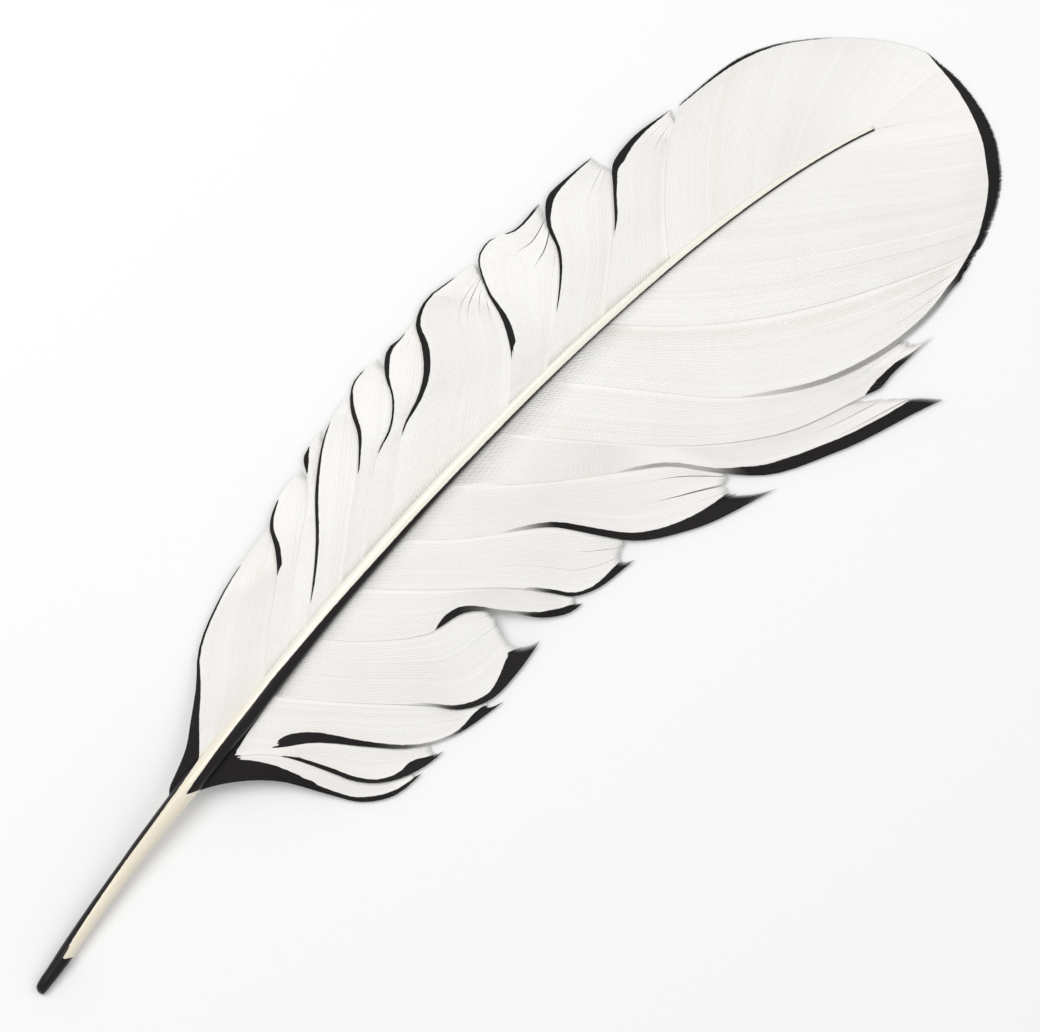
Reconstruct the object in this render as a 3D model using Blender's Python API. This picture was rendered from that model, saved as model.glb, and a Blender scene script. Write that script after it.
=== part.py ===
# Turkey wing feather, lying flat with its outer side up.
# One grown piece: a quill that runs on as the shaft, and a narrow and a wide vane made of barb locks.
# Metres, +Z up. The quill's end points to -X, the rounded tip to +X, and the wide vane lies towards -Y.
# A lock is drawn in the shaft's own frame: millimetres along the shaft from the quill's end, then
# millimetres across it, positive on the narrow vane's side.

from collections import namedtuple
from math import ceil, pi, sin

import bmesh
import bpy
import numpy as np

MM = 0.001

# The shaft's centre line seen from above, as one Bezier curve
SHAFT_START = (0, 0)
SHAFT_HANDLES = ((52, 13), (208, 33))
SHAFT_END = (276, 10)
CENTRE = (148.78, 4.09)

# Half the shaft's thickness at stations along it: nib, quill, base of the vanes, tip
SHAFT_RADII = (
    (0, 0.6), (0.3, 0.95), (0.75, 1.22), (1.5, 1.4), (3, 1.52), (6, 1.63), (11, 1.8), (35, 1.9), (60, 2.5),
    (110, 2.0), (180, 1.3), (278.5, 0.6),
)
# How far the shaft's middle lies to the narrow vane's side of that line
SHAFT_OFFSETS = (
    (0, 0.45), (0.75, 0.7), (1.5, 0.75), (3, 0.7), (6, 0.5), (11, 0.42), (40, 0.5), (60, 0.2), (80, -0.1),
    (110, 0.8), (150, 1.2), (190, 1.2), (278.5, 0.4),
)
SHAFT_STEP = 10
SHAFT_STEPS_FROM = 20
SHAFT_STEPS_TO = 275
SHAFT_SIDES = 12
SHAFT_SAMPLES = 400

# The feather arches lengthwise, and its vanes droop from the shaft to the surface that it lies on
ARCH_RISE = 7
ARCH_END = 288
ARCH_POWER = 1.3
DROOP_POWER = 1.5
NARROW_REACH = ((50, 10), (85, 21), (115, 27), (150, 31.5), (180, 33), (235, 31), (270, 29), (310, 20))
WIDE_REACH = ((45, 14), (80, 33), (105, 40), (160, 43), (205, 53), (240, 56), (275, 46), (310, 28))

# A lock's sheet: its thickness, how far it laps under its neighbour and past the shaft's centre line,
# how it tilts like a roof tile, how far the two vanes differ in height at the shaft, how finely the
# sheet is divided, and how far the whole feather is pressed onto the surface it lies on
THICKNESS = 0.9
OVERLAP = 0.6
ROOT_OVERLAP = 0.3
LOCK_TILT = 0.15
STRAND_TILT = 0.08
STRAND_NOTCH = 0.012
NARROWEST = 0.5
TILT_FADES_IN = 0.25
VANE_STEP = 0.25
NARROW_ROW_LENGTH = 5.5
WIDE_ROW_LENGTH = 7.5
FEWEST_ROWS = 3
COLUMN_WIDTH = 6.5
PRESSED_FLAT = 0.15

# meets: where the lock's end reaches the next lock's edge, as a share of that edge's length
# strands: how many strips the lock parts into
# notch: how far its end is hollowed
# edge: the side nearest the quill, from the shaft to the lock's tip
Lock = namedtuple("Lock", "meets strands notch edge")

NARROW_LOCKS = (
    Lock(0.69, 2, 0, (
        (52, 0), (55.5, 3.4), (60, 4.6), (65, 6.1), (71, 9.4), (78, 13.5), (83, 17.3), (97, 22.1), (116, 24),
    )),
    Lock(0.78, 1, 0, (
        (86, 0), (98, 8.5), (109, 15.4), (113, 19.6), (116.2, 24), (122.4, 26.7), (130, 27.3),
    )),
    Lock(0.78, 1, 0, ((94, 0), (106, 8.5), (116, 15), (127, 22), (130.2, 25.3), (132, 28), (140, 30))),
    Lock(0.80, 2, 0, ((100.5, 0), (108.5, 5), (120, 13.3), (129.7, 22.1), (142.5, 29.6), (151, 30.8))),
    Lock(0.78, 1, 0, (
        (113, 0), (127, 9.5), (140, 18.2), (144.7, 23), (147.7, 28.3), (151.8, 31.7), (160, 31.7),
    )),
    Lock(0.71, 1, 0, (
        (121, 0), (133, 8.5), (146, 16.7), (154, 20.9), (158.2, 27.3), (163.5, 31.3), (172.5, 31.4),
    )),
    Lock(0.57, 4, 0, (
        (130, 0), (143, 9.5), (155, 16.9), (164.6, 21.5), (171.2, 30.5), (177, 33.3), (190, 31),
    )),
    Lock(0.58, 2, 0, (
        (169, 0), (181.3, 9.7), (185.5, 16.9), (188.2, 26), (192.4, 32.2), (201, 30.8), (209, 30.2),
    )),
    Lock(0.66, 2, 0, ((182, 0), (198, 12.2), (205.3, 20.6), (207.2, 26.3), (212, 31.2), (224, 31.4))),
    Lock(0.88, 2, 0, (
        (201, 0), (210, 8), (218.6, 16.3), (223.5, 22.9), (226.6, 27), (231.8, 28.7), (243.5, 28.7),
    )),
)
WIDE_LOCKS = (
    Lock(0.84, 1, 0.02, (
        (56, 0), (63.4, -5), (72.8, -15.6), (77, -25), (81.4, -33.6), (87, -37.9), (95.5, -39.6),
    )),
    Lock(0.70, 1, 0.03, ((66, 0), (76.1, -9.8), (81.8, -23.1), (86.9, -33.1), (102.8, -40.4))),
    Lock(0.73, 2, 0.04, (
        (72, 0), (78.5, -10.1), (84.2, -15.3), (92.8, -27.2), (97.2, -32.8), (106.6, -39.3),
        (121.4, -43.2),
    )),
    Lock(0.64, 2, 0.07, (
        (86, 0), (97, -16), (105.5, -27.5), (112, -36), (119.5, -40.5), (128, -41), (138, -40),
    )),
    Lock(0.75, 2, 0.02, (
        (103, 0), (112, -11.5), (122.3, -19.9), (130.8, -22.8), (137.6, -29.5), (142.7, -37.4),
        (151.7, -41.5),
    )),
    Lock(0.57, 2, 0.05, (
        (118, 0), (130, -14), (144.5, -28.6), (148.6, -35.3), (154.4, -40.6), (168, -43.2),
    )),
    Lock(0.50, 2, 0.09, (
        (133, 0), (143, -10.5), (153.2, -18.2), (160, -24.5), (165, -32), (171, -39.8), (183.4, -47.6),
        (206, -54),
    )),
    Lock(0.74, 3, 0.04, (
        (150, 0), (164, -14), (181.8, -27.5), (190.3, -33.7), (197.3, -42), (205.3, -49.6),
        (223.6, -56.7), (258, -62),
    )),
    Lock(0.78, 2, 0.03, (
        (167, 0), (181, -17), (198, -34), (218, -46), (237.1, -50.7), (247, -50.8), (266, -48.5),
    )),
    Lock(1, 2, 0, ((184, 0), (198, -16.5), (213, -31.5), (232, -42.3), (256, -45.3), (281.5, -40.2))),
)

# The rounded end has no parted locks: barbs fan out to it. Each is a root station, the point it
# reaches on the outline, and the share of the way at which it bends forward, along and across.
Barb = namedtuple("Barb", "root reach bend")

NARROW_END = (
    Barb(222, (246, 27.9), (0.42, 0.62)),
    Barb(233, (258, 29.7), (0.44, 0.60)),
    Barb(245, (270.5, 27.5), (0.46, 0.58)),
    Barb(256, (283, 21.8), (0.47, 0.56)),
    Barb(267, (293.8, 13.8), (0.48, 0.54)),
    Barb(274, (300.2, 4.8), (0.49, 0.52)),
    Barb(278.5, (303.2, -6), (0.50, 0.50)),
)
WIDE_END = (
    Barb(203, (289, -35.1), (0.36, 0.98)),
    Barb(221, (295, -29.7), (0.40, 0.86)),
    Barb(239, (299.7, -23.8), (0.43, 0.74)),
    Barb(258, (302.4, -16.5), (0.46, 0.62)),
    Barb(269, (303.4, -11), (0.48, 0.56)),
    Barb(278.5, (303.2, -6), (0.50, 0.50)),
)
SAMPLES = 120
SAMPLES_PER_SPAN = 24

# A hollow share * (1 - share)^2 is deepest, at 4/27, a third of the way across the lock
HOLLOW_SCALE = 27 / 4

KERATIN_WHITE = (0.78, 0.75, 0.68, 1)
KERATIN_ROUGHNESS = 0.5
TABLE_SIZE = 0.5
WELD_DISTANCE = 0.00001


def clear_scene():
    for obj in list(bpy.data.objects):
        bpy.data.objects.remove(obj, do_unlink=True)


def new_collection(name):
    collection = bpy.data.collections.new(name)
    bpy.context.scene.collection.children.link(collection)
    return collection


def bezier(points, shares):
    a, b, c, d = np.array(points, float)
    t = shares[:, None]
    return (1 - t) ** 3 * a + 3 * (1 - t) ** 2 * t * b + 3 * (1 - t) * t**2 * c + t**3 * d


def lengths_along(points):
    steps = np.hypot(*np.diff(points, axis=0).T)
    return np.concatenate([[0], np.cumsum(steps)])


# The shaft's line, measured once: points, their distances from the quill's end, and directions
SHAFT_LINE = bezier((SHAFT_START, *SHAFT_HANDLES, SHAFT_END), np.linspace(0, 1, SHAFT_SAMPLES))
SHAFT_DISTANCES = lengths_along(SHAFT_LINE)
SHAFT_LENGTH = SHAFT_DISTANCES[-1]
SHAFT_DIRECTIONS = np.gradient(SHAFT_LINE, axis=0)
SHAFT_DIRECTIONS /= np.hypot(*SHAFT_DIRECTIONS.T)[:, None]


def plan(along, across):
    """The point seen from above, in millimetres, past the shaft's end on its last direction."""
    x = np.interp(along, SHAFT_DISTANCES, SHAFT_LINE[:, 0])
    y = np.interp(along, SHAFT_DISTANCES, SHAFT_LINE[:, 1])
    dx = np.interp(along, SHAFT_DISTANCES, SHAFT_DIRECTIONS[:, 0])
    dy = np.interp(along, SHAFT_DISTANCES, SHAFT_DIRECTIONS[:, 1])
    beyond = max(along - SHAFT_LENGTH, 0)
    return x + beyond * dx - across * dy - CENTRE[0], y + beyond * dy + across * dx - CENTRE[1]


def smooth_through(points, count):
    """Points at even distances along a smooth curve through the given ones."""
    p = np.array(points, float)
    span = np.hypot(*np.diff(p, axis=0).T)
    chord = np.diff(p, axis=0) / span[:, None]
    slope = np.zeros_like(p)
    shared = chord[:-1] * span[1:, None] + chord[1:] * span[:-1, None]
    slope[1:-1] = shared / (span[:-1] + span[1:])[:, None]
    slope[0] = 1.5 * chord[0] - 0.5 * slope[1]
    slope[-1] = chord[-1]
    t = np.linspace(0, 1, SAMPLES_PER_SPAN, endpoint=False)[:, None]
    pieces = []
    for i, h in enumerate(span):
        start = (2 * t**3 - 3 * t**2 + 1) * p[i] + (t**3 - 2 * t**2 + t) * h * slope[i]
        end = (3 * t**2 - 2 * t**3) * p[i + 1] + (t**3 - t**2) * h * slope[i + 1]
        pieces.append(start + end)
    dense = np.vstack([*pieces, p[-1:]])
    distance = lengths_along(dense)
    even = np.linspace(0, distance[-1], count)
    return np.stack([np.interp(even, distance, dense[:, 0]), np.interp(even, distance, dense[:, 1])], -1)


NARROW_REACH_CURVE = smooth_through(NARROW_REACH, SAMPLES)
WIDE_REACH_CURVE = smooth_through(WIDE_REACH, SAMPLES)


def shaft_radius(along):
    stations, radii = zip(*SHAFT_RADII)
    return np.interp(along, (*stations, ARCH_END), (*radii, THICKNESS / 2))


def shaft_offset(along):
    stations, offsets = zip(*SHAFT_OFFSETS)
    return np.interp(along, stations, offsets)


def shaft_height(along):
    share = np.clip(along / ARCH_END, 0, 1)
    return shaft_radius(along) + ARCH_RISE * sin(pi * share) ** ARCH_POWER


def vane_height(along, across):
    """Height of the middle of the vane's thickness."""
    reach = NARROW_REACH_CURVE if across > 0 else WIDE_REACH_CURVE
    share = min(abs(across) / np.interp(along, reach[:, 0], reach[:, 1]), 1)
    rest = THICKNESS / 2
    return rest + (shaft_height(along) - rest) * (1 - share**2) ** DROOP_POWER


def at(curve, share):
    position = np.clip(share, 0, 1) * (len(curve) - 1)
    return np.array([np.interp(position, np.arange(len(curve)), curve[:, k]) for k in (0, 1)])


def end_barb(barb):
    root = np.array((barb.root, 0.0))
    reach = np.array(barb.reach, float)
    bend = root + (reach - root) * barb.bend
    t = np.linspace(0, 1, SAMPLES)[:, None]
    return (1 - t) ** 2 * root + 2 * t * (1 - t) * bend + t**2 * reach


def lock_sides(locks, end):
    """For each lock and each strip of the rounded end: its two side curves and its Lock."""
    edges = [smooth_through(lock.edge, SAMPLES) for lock in locks]
    fan = [end_barb(barb) for barb in end]
    sides = []
    for lock, near, far in zip(locks, edges, [*edges[1:], fan[0]]):
        cut = np.array([at(far, share * lock.meets) for share in np.linspace(0, 1, SAMPLES)])
        sides.append((near, cut, lock))
    for near, far in zip(fan, fan[1:]):
        sides.append((near, far, Lock(1, 1, 0, ())))
    return sides


def strand_point(near, far, lock, strand, across_share, along_share):
    """One point of a strand's sheet: along, across and height, in millimetres."""
    share = (strand + across_share) / lock.strands
    hollow = lock.notch * HOLLOW_SCALE * share * (1 - share) ** 2 + STRAND_NOTCH * across_share
    reach = along_share * (1 - hollow)
    start, stop = at(near, reach), at(far, reach)
    point = start + (stop - start) * share
    width = np.hypot(*(stop - start))
    side = np.sign(near[-1][1])
    if across_share == 1:
        point = point + (stop - start) / max(width, NARROWEST) * OVERLAP
    if along_share == 0:
        point[1] = -side * ROOT_OVERLAP
    lock_tilt = LOCK_TILT if lock.edge else 0
    tilt = lock_tilt * (1 - 2 * share) + STRAND_TILT * (1 - 2 * across_share)
    tilt *= min(along_share / TILT_FADES_IN, 1)
    return point[0], point[1], vane_height(*point) + tilt + side * VANE_STEP / 2


def strand_mesh(into, near, far, lock, strand):
    """Adds one closed strand to the mesh: a grid laid between the two sides, then thickened."""
    row_length = NARROW_ROW_LENGTH if near[-1][1] > 0 else WIDE_ROW_LENGTH
    rows = max(FEWEST_ROWS, ceil(lengths_along(near)[-1] / row_length))
    width = np.hypot(*(near - far).T).max() / lock.strands
    columns = max(1, round(width / COLUMN_WIDTH))
    grid = bmesh.new()
    bmesh.ops.create_grid(grid, x_segments=columns, y_segments=rows, size=0.5)
    for vert in grid.verts:
        across_share = round((vert.co.x + 0.5) * columns) / columns
        along_share = round((vert.co.y + 0.5) * rows) / rows
        along, across, height = strand_point(near, far, lock, strand, across_share, along_share)
        x, y = plan(along, across)
        vert.co = (x * MM, y * MM, (height + THICKNESS / 2 - PRESSED_FLAT) * MM)
    grown = bmesh.ops.extrude_face_region(grid, geom=grid.faces[:])
    lowered = [part for part in grown["geom"] if isinstance(part, bmesh.types.BMVert)]
    bmesh.ops.translate(grid, verts=lowered, vec=(0, 0, -THICKNESS * MM))
    bmesh.ops.recalc_face_normals(grid, faces=grid.faces[:])
    if grid.calc_volume(signed=True) < 0:
        bmesh.ops.reverse_faces(grid, faces=grid.faces[:])
    mesh = bpy.data.meshes.new("strand")
    grid.to_mesh(mesh)
    grid.free()
    into.from_mesh(mesh)
    bpy.data.meshes.remove(mesh)


def make_vanes(collection):
    """Both vanes as one mesh of closed strands, which the union with the shaft joins."""
    strands = bmesh.new()
    for locks, end in ((NARROW_LOCKS, NARROW_END), (WIDE_LOCKS, WIDE_END)):
        for near, far, lock in lock_sides(locks, end):
            for strand in range(lock.strands):
                strand_mesh(strands, near, far, lock, strand)
    mesh = bpy.data.meshes.new("vanes")
    strands.to_mesh(mesh)
    strands.free()
    return helper(bpy.data.objects.new("vanes", mesh), collection)


def helper(obj, collection):
    obj.hide_render = True
    obj.display_type = "WIRE"
    collection.objects.link(obj)
    return obj


def make_table(collection):
    """The block below the surface that the feather lies on: it flattens what would reach under it."""
    block = bmesh.new()
    bmesh.ops.create_cube(block, size=TABLE_SIZE)
    bmesh.ops.translate(block, verts=block.verts[:], vec=(0, 0, -TABLE_SIZE / 2))
    mesh = bpy.data.meshes.new("table")
    block.to_mesh(mesh)
    block.free()
    return helper(bpy.data.objects.new("table", mesh), collection)


def shaft_curve():
    """Quill and shaft as one tapering tube."""
    curve = bpy.data.curves.new("shaft", "CURVE")
    curve.dimensions = "3D"
    curve.bevel_depth = MM
    # A bevel of resolution r makes 2r + 4 sides
    curve.bevel_resolution = SHAFT_SIDES // 2 - 2
    curve.use_fill_caps = True
    stations = {station for station, radius in SHAFT_RADII}
    stations |= set(range(SHAFT_STEPS_FROM, SHAFT_STEPS_TO, SHAFT_STEP))
    stations = sorted(stations)
    spline = curve.splines.new("POLY")
    spline.points.add(len(stations) - 1)
    for point, station in zip(spline.points, stations):
        x, y = plan(station, shaft_offset(station))
        point.co = (x * MM, y * MM, (shaft_height(station) - PRESSED_FLAT) * MM, 1)
        point.radius = shaft_radius(station)
    return bpy.data.objects.new("shaft", curve)


def mesh_from_curve(obj, name, collection):
    collection.objects.link(obj)
    graph = bpy.context.evaluated_depsgraph_get()
    mesh = bpy.data.meshes.new_from_object(obj.evaluated_get(graph))
    welded = bmesh.new()
    welded.from_mesh(mesh)
    bmesh.ops.remove_doubles(welded, verts=welded.verts[:], dist=WELD_DISTANCE)
    bmesh.ops.recalc_face_normals(welded, faces=welded.faces[:])
    welded.to_mesh(mesh)
    welded.free()
    made = bpy.data.objects.new(name, mesh)
    made.matrix_world = obj.matrix_world
    collection.objects.link(made)
    bpy.data.objects.remove(obj)
    return made


def add_boolean(obj, name, operation, other, with_itself=False):
    boolean = obj.modifiers.new(name, "BOOLEAN")
    boolean.operation = operation
    boolean.object = other
    boolean.solver = "EXACT"
    boolean.use_self = with_itself


def feather_material():
    material = bpy.data.materials.new("feather keratin")
    material.use_nodes = True
    shader = material.node_tree.nodes["Principled BSDF"]
    shader.inputs["Base Color"].default_value = KERATIN_WHITE
    shader.inputs["Roughness"].default_value = KERATIN_ROUGHNESS
    shader.inputs["Metallic"].default_value = 0
    return material


def main():
    clear_scene()
    parts = new_collection("turkey_wing_feather")
    helpers = new_collection("helpers")
    feather = mesh_from_curve(shaft_curve(), "feather", parts)
    add_boolean(feather, "vanes joined", "UNION", make_vanes(helpers), with_itself=True)
    add_boolean(feather, "rests flat", "DIFFERENCE", make_table(helpers))
    feather.data.materials.clear()
    feather.data.materials.append(feather_material())


main()
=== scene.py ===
from math import pi, radians

import bmesh
import bpy
import numpy as np
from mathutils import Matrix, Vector


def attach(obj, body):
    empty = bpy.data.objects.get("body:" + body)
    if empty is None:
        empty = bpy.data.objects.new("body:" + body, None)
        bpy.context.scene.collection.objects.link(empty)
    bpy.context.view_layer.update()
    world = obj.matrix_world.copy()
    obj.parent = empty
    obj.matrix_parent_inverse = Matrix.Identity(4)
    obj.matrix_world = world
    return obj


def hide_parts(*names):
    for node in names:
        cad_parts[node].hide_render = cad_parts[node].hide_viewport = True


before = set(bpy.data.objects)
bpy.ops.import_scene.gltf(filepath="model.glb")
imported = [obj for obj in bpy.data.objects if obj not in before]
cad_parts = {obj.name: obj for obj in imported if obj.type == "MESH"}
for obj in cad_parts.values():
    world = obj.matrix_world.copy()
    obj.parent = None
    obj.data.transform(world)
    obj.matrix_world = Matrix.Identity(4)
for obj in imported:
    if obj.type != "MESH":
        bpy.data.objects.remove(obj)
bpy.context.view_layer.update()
chance = np.random.default_rng(11)
millimetre = 0.001

# Everything on the feather is placed by how far along the shaft and how far across it lies, in
# millimetres. Across is positive on the narrow vane's side.
form = {
    "line": ((0, 0), (52, 13), (208, 33), (276, 10)),  # the shaft seen from above
    "centre": (148.78, 4.09),
    "radius": ((0, 0.6), (0.3, 0.95), (0.75, 1.22), (1.5, 1.4), (3, 1.52), (6, 1.63), (9, 1.76),
               (11, 1.8), (35, 1.9), (60, 2.5), (110, 2.0), (180, 1.3), (278.5, 0.6)),
    "offset": ((0, 0.45), (0.75, 0.7), (1.5, 0.75), (3, 0.7), (6, 0.5), (9, 0.42), (14, 0.45),
               (40, 0.5), (60, 0.2), (80, -0.1), (110, 0.8), (150, 1.2), (190, 1.2), (278.5, 0.4)),
    "archRise": 7,
    "archEnd": 288,
    "archPower": 1.3,
    "droopPower": 1.5,
    "rest": 0.45,  # where the middle of the vane lies over the table
    "pressed": 0.2,  # how far down the shaft is set, in mm
    "narrowReach": ((50, 10), (85, 21), (115, 27), (150, 31.5), (180, 33), (235, 31), (270, 29), (310, 20)),
    "wideReach": ((45, 14), (80, 33), (105, 40), (160, 43), (205, 53), (240, 56), (275, 46), (310, 28)),
}
# How many points stand for each curve
points = {
    "span": 24,  # between two given points
    "shaft": 800,
    "reach": 120,
    "edge": 160,
    "marking": 300,
    "fanEnd": 400,
    "rimMarking": 500,
    "rimTips": 4000,
}


def lengthsAlong(curve):
    return np.concatenate([[0], np.cumsum(np.hypot(*np.diff(curve[:, :2], axis=0).T))])


def evenAlong(curve, count):
    length = lengthsAlong(curve)
    even = np.linspace(0, length[-1], count)
    return np.stack([np.interp(even, length, column) for column in curve.T], -1)


def smoothThrough(given, count):
    p = np.array(given, float)
    span = np.hypot(*np.diff(p[:, :2], axis=0).T)
    chord = np.diff(p, axis=0) / span[:, None]
    slope = np.zeros_like(p)
    shared = chord[:-1] * span[1:, None] + chord[1:] * span[:-1, None]
    slope[1:-1] = shared / (span[:-1] + span[1:])[:, None]
    slope[0] = 1.5 * chord[0] - 0.5 * slope[1]
    slope[-1] = chord[-1]
    t = np.linspace(0, 1, points["span"], endpoint=False)[:, None]
    pieces = []
    for i, h in enumerate(span):
        start = (2 * t**3 - 3 * t**2 + 1) * p[i] + (t**3 - 2 * t**2 + t) * h * slope[i]
        end = (3 * t**2 - 2 * t**3) * p[i + 1] + (t**3 - t**2) * h * slope[i + 1]
        pieces.append(start + end)
    return evenAlong(np.vstack([*pieces, p[-1:]]), count)


def profile(table, at, column=1):
    table = np.array(table, float)
    return np.interp(at, table[:, 0], table[:, column])


def smoothStep(value, low, high):
    t = np.clip((value - low) / (high - low), 0, 1)
    return t * t * (3 - 2 * t)


def shaftTable():
    t = np.linspace(0, 1, points["shaft"])[:, None]
    a, b, c, d = np.array(form["line"], float)
    line = (1 - t) ** 3 * a + 3 * (1 - t) ** 2 * t * b + 3 * (1 - t) * t**2 * c + t**3 * d
    heading = np.gradient(line, axis=0)
    heading /= np.hypot(*heading.T)[:, None]
    return lengthsAlong(line), line, heading


shaftLength, shaftLine, shaftHeading = shaftTable()
reachCurves = {
    1: smoothThrough(form["narrowReach"], points["reach"]),
    -1: smoothThrough(form["wideReach"], points["reach"]),
}


def plan(s, w):
    # seen from above, past the shaft's end on its last heading
    x, y = (np.interp(s, shaftLength, shaftLine[:, k]) for k in (0, 1))
    dx, dy = (np.interp(s, shaftLength, shaftHeading[:, k]) for k in (0, 1))
    beyond = np.maximum(s - shaftLength[-1], 0)
    return x + beyond * dx - w * dy - form["centre"][0], y + beyond * dy + w * dx - form["centre"][1]


def shaftHeight(s):
    share = np.clip(s / form["archEnd"], 0, 1)
    return profile(form["radius"], s) + form["archRise"] * np.sin(pi * share) ** form["archPower"]


def vaneHeight(s, w, side):
    reach = reachCurves[side]
    share = np.clip(np.abs(w) / np.interp(s, reach[:, 0], reach[:, 1]), 0, 1)
    return form["rest"] + (shaftHeight(s) - form["rest"]) * (1 - share**2) ** form["droopPower"]


# Each lock: meets (where its end reaches the next lock's edge, as a share of that edge), how far its
# end is hollowed, the edge nearest the quill, and the dark marking along that edge as
# (share of the edge, width in mm, depth)
narrowLocks = (
    {
        "meets": 0.69, "hollow": 0, "darkRoot": True,
        "edge": ((52, 0), (55.5, 3.4), (60, 4.6), (65, 6.1), (71, 9.4), (78, 13.5), (83, 17.3),
                 (97, 22.1), (116, 24)),
        "ink": ((0, 1.2, 1), (0.06, 1.9, 1), (0.14, 2.7, 1), (0.2, 2.6, 1), (0.27, 2.2, 1),
                (0.34, 1.6, 1), (0.4, 1.2, 1), (0.46, 0.8, 1), (0.52, 0.5, 1), (0.66, 0.45, 1),
                (0.8, 0.3, 0.9), (0.86, 0, 0.8)),
    },
    {
        "meets": 0.78, "hollow": 0,
        "edge": ((86, 0), (98, 8.5), (109, 15.4), (113, 19.6), (116.2, 24), (122.4, 26.7), (130, 27.3)),
        "ink": ((0.52, 0, 1), (0.56, 1.2, 1), (0.64, 1.2, 1), (0.68, 0.9, 1), (0.75, 0.7, 1),
                (0.82, 0.35, 1), (0.87, 0, 1)),
    },
    {
        "meets": 0.78, "hollow": 0,
        "edge": ((94, 0), (106, 8.5), (116, 15), (127, 22), (130.2, 25.3), (132, 28), (140, 30)),
        "ink": ((0.79, 0, 1), (0.84, 1.1, 1), (0.88, 1.1, 1), (0.92, 0, 1)),
    },
    {
        "meets": 0.80, "hollow": 0,
        "edge": ((100.5, 0), (108.5, 5), (120, 13.3), (129.7, 22.1), (142.5, 29.6), (151, 30.8)),
        "ink": ((0.15, 0, 1), (0.24, 0.45, 1), (0.35, 0.6, 1), (0.46, 0.7, 1), (0.57, 0.7, 1),
                (0.69, 0.5, 1), (0.78, 0.35, 1), (0.84, 0.22, 1), (0.88, 0, 1)),
    },
    {
        "meets": 0.78, "hollow": 0,
        "edge": ((113, 0), (127, 9.5), (139.9, 18.3), (144.7, 23), (147.8, 28.2), (151.9, 31.6),
                 (160, 31.7)),
        "ink": ((0.49, 0, 1), (0.53, 0.25, 1), (0.6, 0.5, 1), (0.68, 0.9, 1), (0.75, 0.9, 1),
                (0.8, 0.65, 1), (0.86, 0.3, 1), (0.92, 0.22, 1), (0.95, 0, 1)),
    },
    {
        "meets": 0.71, "hollow": 0,
        "edge": ((121, 0), (133, 8.5), (145.8, 17.1), (150, 18.4), (153.9, 21), (156.4, 23.7),
                 (158.2, 27.3), (163.5, 31.4), (166.8, 31), (172.5, 31.4)),
        "ink": ((0.43, 0, 1), (0.47, 0.25, 1), (0.54, 0.45, 1), (0.65, 0.45, 1), (0.7, 0.4, 1),
                (0.76, 0.9, 1), (0.8, 1.1, 1), (0.84, 1, 1), (0.88, 0.6, 1), (0.92, 0, 1)),
    },
    {
        "meets": 0.57, "hollow": 0,
        "edge": ((130, 0), (143, 9.5), (154.8, 17.2), (158.7, 18.3), (164.6, 21.5), (168.9, 26.5),
                 (171.1, 30.6), (177, 33.2), (181.8, 32.6), (190, 31)),
        "ink": ((0.35, 0, 1), (0.38, 0.25, 1), (0.45, 0.7, 1), (0.53, 1.2, 1), (0.6, 1.5, 1),
                (0.64, 1.6, 1), (0.68, 1.3, 1), (0.75, 0.9, 1), (0.82, 0.45, 1), (0.88, 0.28, 1),
                (0.93, 0.2, 1), (0.96, 0, 1)),
    },
    {
        "meets": 0.58, "hollow": 0,
        "edge": ((169, 0), (181.2, 9.8), (185.4, 16.9), (188.1, 26), (192.4, 32.2), (195.9, 32.7),
                 (201, 30.6), (209, 31.3)),
        "ink": ((0.285, 0, 1), (0.295, 0.9, 1), (0.32, 1.5, 1), (0.39, 1.5, 1), (0.46, 1, 1),
                (0.54, 0.5, 1), (0.61, 0.35, 1), (0.72, 0.3, 1), (0.78, 0.2, 1), (0.8, 0, 1),
                (0.83, 0.2, 1), (0.88, 0.4, 1), (0.94, 0.5, 1), (1, 0.55, 1)),
    },
    {
        "meets": 0.66, "hollow": 0,
        "edge": ((182, 0), (198, 12.2), (200.5, 14.5), (205.3, 20.6), (207.2, 26.3), (211.9, 31.3),
                 (216, 31.5), (224, 31.4)),
        "ink": ((0.3, 0, 1), (0.34, 0.25, 1), (0.41, 0.4, 1), (0.49, 0.6, 1), (0.6, 0.7, 1),
                (0.68, 0.9, 1), (0.72, 1.4, 1), (0.79, 1.6, 1), (0.82, 1.1, 1), (0.86, 0.7, 1),
                (0.92, 0.45, 1), (0.97, 0.3, 1), (1, 0.2, 1)),
    },
    {
        "meets": 0.88, "hollow": 0,
        "edge": ((201, 0), (210, 8), (218.6, 16.3), (223.5, 22.9), (226.6, 27), (231.8, 28.7),
                 (243.5, 28.7)),
        "ink": ((0.39, 0, 1), (0.43, 0.4, 1), (0.48, 0.65, 1), (0.57, 0.7, 1), (0.65, 1.2, 1),
                (0.72, 2, 1), (0.76, 1.6, 1), (0.8, 1.3, 1), (0.84, 1.1, 1), (0.88, 0.7, 1),
                (0.95, 0.3, 1), (1, 0.1, 1)),
    },
)
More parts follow.
